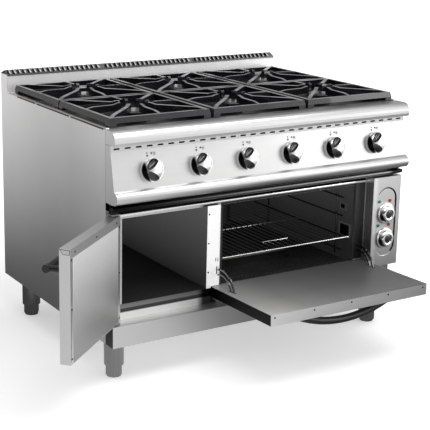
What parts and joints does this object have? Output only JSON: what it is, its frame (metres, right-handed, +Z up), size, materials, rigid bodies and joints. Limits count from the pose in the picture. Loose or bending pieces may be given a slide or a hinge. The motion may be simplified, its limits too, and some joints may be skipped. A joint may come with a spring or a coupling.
{
  "type": "commercial gas range",
  "caption": "Freestanding catering range: open-burner gas hob with cast grates over a side-hung cabinet and a drop-door oven with a control box, on tubular legs.",
  "frame": {"origin": "centre of the footprint at floor level with both doors open as at rest", "axes": "+X to the user's right, +Y towards the back, +Z up"},
  "size_m": [1.5189, 1.207, 0.932],
  "materials": {
    "steel_sheet": "brushed stainless sheet",
    "leg_steel": "satin stainless tube",
    "oven_enamel": "black vitreous enamel",
    "mineral_wool": "mineral wool board",
    "wire_chrome": "chromed wire",
    "element_steel": "heat-tinted sheathed element",
    "lamp_green": "green lens",
    "lamp_red": "red lens",
    "black_plastic": "black heat-proof plastic",
    "screw_steel": "plain screw heads",
    "pipe_steel": "coated gas pipe",
    "brass": "machined brass",
    "burner_iron": "black burner casting",
    "seal_rubber": "black door seal",
    "cast_grate": "black cast iron",
    "hinge_black": "blackened steel",
    "knob_chrome": "polished knob"
  },
  "bodies": {
    "casing": {"back_panel": "steel_sheet", "base_panel": "steel_sheet", "body_screws": "screw_steel", "burner_bases": "burner_iron", "burner_caps": "burner_iron", "burner_pipes": "pipe_steel", "cabinet_box": "steel_sheet", "cabinet_hinge_brackets": "leg_steel", "centre_post": "steel_sheet", "control_box": "steel_sheet", "fascia": "steel_sheet", "flue_grille": "steel_sheet", "front_frame": "steel_sheet", "gas_manifold": "pipe_steel", "gas_valves": "brass", "grate_left": "cast_grate", "grate_middle": "cast_grate", "grate_right": "cast_grate", "green_lamps": "lamp_green", "heating_elements": "element_steel", "leg_tubes": "leg_steel", "levelling_feet": "leg_steel", "oven_cavity": "oven_enamel", "oven_gasket": "seal_rubber", "oven_insulation": "mineral_wool", "oven_thermostats": "black_plastic", "plinth": "steel_sheet", "rack_guides": "wire_chrome", "red_lamps": "lamp_red", "side_panel_left": "steel_sheet", "side_panel_right": "steel_sheet", "spill_pans": "steel_sheet", "splashback": "steel_sheet", "worktop": "steel_sheet"},
    "stem_1": {"valve_stem_1": "brass"},
    "knob_1": {"hob_knob_1": "knob_chrome"},
    "stem_2": {"valve_stem_2": "brass"},
    "knob_2": {"hob_knob_2": "knob_chrome"},
    "stem_3": {"valve_stem_3": "brass"},
    "knob_3": {"hob_knob_3": "knob_chrome"},
    "stem_4": {"valve_stem_4": "brass"},
    "knob_4": {"hob_knob_4": "knob_chrome"},
    "stem_5": {"valve_stem_5": "brass"},
    "knob_5": {"hob_knob_5": "knob_chrome"},
    "stem_6": {"valve_stem_6": "brass"},
    "knob_6": {"hob_knob_6": "knob_chrome"},
    "temperature_knob": {"oven_temperature_knob": "black_plastic"},
    "mode_knob": {"oven_mode_knob": "black_plastic"},
    "cabinet_door": {"cabinet_door_handle": "black_plastic", "cabinet_door_liner": "steel_sheet", "cabinet_door_screws": "screw_steel", "cabinet_door_shell": "steel_sheet"},
    "oven_door": {"oven_door_handle": "black_plastic", "oven_door_hinge_arms": "hinge_black", "oven_door_insulation": "mineral_wool", "oven_door_liner": "steel_sheet", "oven_door_screws": "screw_steel", "oven_door_shell": "steel_sheet"},
    "rack": {"oven_rack": "wire_chrome"},
    "tray": {"drip_tray": "steel_sheet"}
  },
  "joints": [
    {"name": "gas_valve_1_turn", "type": "hinge", "parent": "casing", "child": "stem_1", "pos_m": [-0.3005, -0.30153, 0.7155], "axis": [0, -0.981, 0.1938], "range_deg": [0, 180]},
    {"name": "gas_knob_1_push", "type": "slide", "parent": "stem_1", "child": "knob_1", "axis": [0, 0.981, -0.1938], "range_m": [0, 0.003], "stiffness_N_per_m": 1500, "springref_m": -0.001},
    {"name": "gas_valve_2_turn", "type": "hinge", "parent": "casing", "child": "stem_2", "pos_m": [-0.1165, -0.30153, 0.7155], "axis": [0, -0.981, 0.1938], "range_deg": [0, 180]},
    {"name": "gas_knob_2_push", "type": "slide", "parent": "stem_2", "child": "knob_2", "axis": [0, 0.981, -0.1938], "range_m": [0, 0.003], "stiffness_N_per_m": 1500, "springref_m": -0.001},
    {"name": "gas_valve_3_turn", "type": "hinge", "parent": "casing", "child": "stem_3", "pos_m": [0.0675, -0.30153, 0.7155], "axis": [0, -0.981, 0.1938], "range_deg": [0, 180]},
    {"name": "gas_knob_3_push", "type": "slide", "parent": "stem_3", "child": "knob_3", "axis": [0, 0.981, -0.1938], "range_m": [0, 0.003], "stiffness_N_per_m": 1500, "springref_m": -0.001},
    {"name": "gas_valve_4_turn", "type": "hinge", "parent": "casing", "child": "stem_4", "pos_m": [0.2515, -0.30153, 0.7155], "axis": [0, -0.981, 0.1938], "range_deg": [0, 180]},
    {"name": "gas_knob_4_push", "type": "slide", "parent": "stem_4", "child": "knob_4", "axis": [0, 0.981, -0.1938], "range_m": [0, 0.003], "stiffness_N_per_m": 1500, "springref_m": -0.001},
    {"name": "gas_valve_5_turn", "type": "hinge", "parent": "casing", "child": "stem_5", "pos_m": [0.4355, -0.30153, 0.7155], "axis": [0, -0.981, 0.1938], "range_deg": [0, 180]},
    {"name": "gas_knob_5_push", "type": "slide", "parent": "stem_5", "child": "knob_5", "axis": [0, 0.981, -0.1938], "range_m": [0, 0.003], "stiffness_N_per_m": 1500, "springref_m": -0.001},
    {"name": "gas_valve_6_turn", "type": "hinge", "parent": "casing", "child": "stem_6", "pos_m": [0.6195, -0.30153, 0.7155], "axis": [0, -0.981, 0.1938], "range_deg": [0, 180]},
    {"name": "gas_knob_6_push", "type": "slide", "parent": "stem_6", "child": "knob_6", "axis": [0, 0.981, -0.1938], "range_m": [0, 0.003], "stiffness_N_per_m": 1500, "springref_m": -0.001},
    {"name": "oven_temperature_turn", "type": "hinge", "parent": "casing", "child": "temperature_knob", "pos_m": [0.6935, -0.3, 0.4434], "axis": [0, -1, 0], "range_deg": [-280, 0]},
    {"name": "oven_mode_turn", "type": "hinge", "parent": "casing", "child": "mode_knob", "pos_m": [0.6935, -0.3, 0.3497], "axis": [0, -1, 0], "range_deg": [-270, 0]},
    {"name": "cabinet_door_hinge", "type": "hinge", "parent": "casing", "child": "cabinet_door", "pos_m": [-0.4197, -0.276, 0.394], "axis": [0, 0, 1], "range_deg": [-40.2, 139.8]},
    {"name": "oven_door_hinge", "type": "hinge", "parent": "casing", "child": "oven_door", "pos_m": [0.29875, -0.2765, 0.247], "axis": [-1, 0, 0], "range_deg": [0, 88.54]},
    {"name": "oven_rack_slide", "type": "slide", "parent": "casing", "child": "rack", "axis": [0, 1, 0], "range_m": [-0.4, 0]},
    {"name": "drip_tray_slide", "type": "slide", "parent": "casing", "child": "tray", "axis": [0, 1, 0], "range_m": [-0.45, 0]}
  ]
}
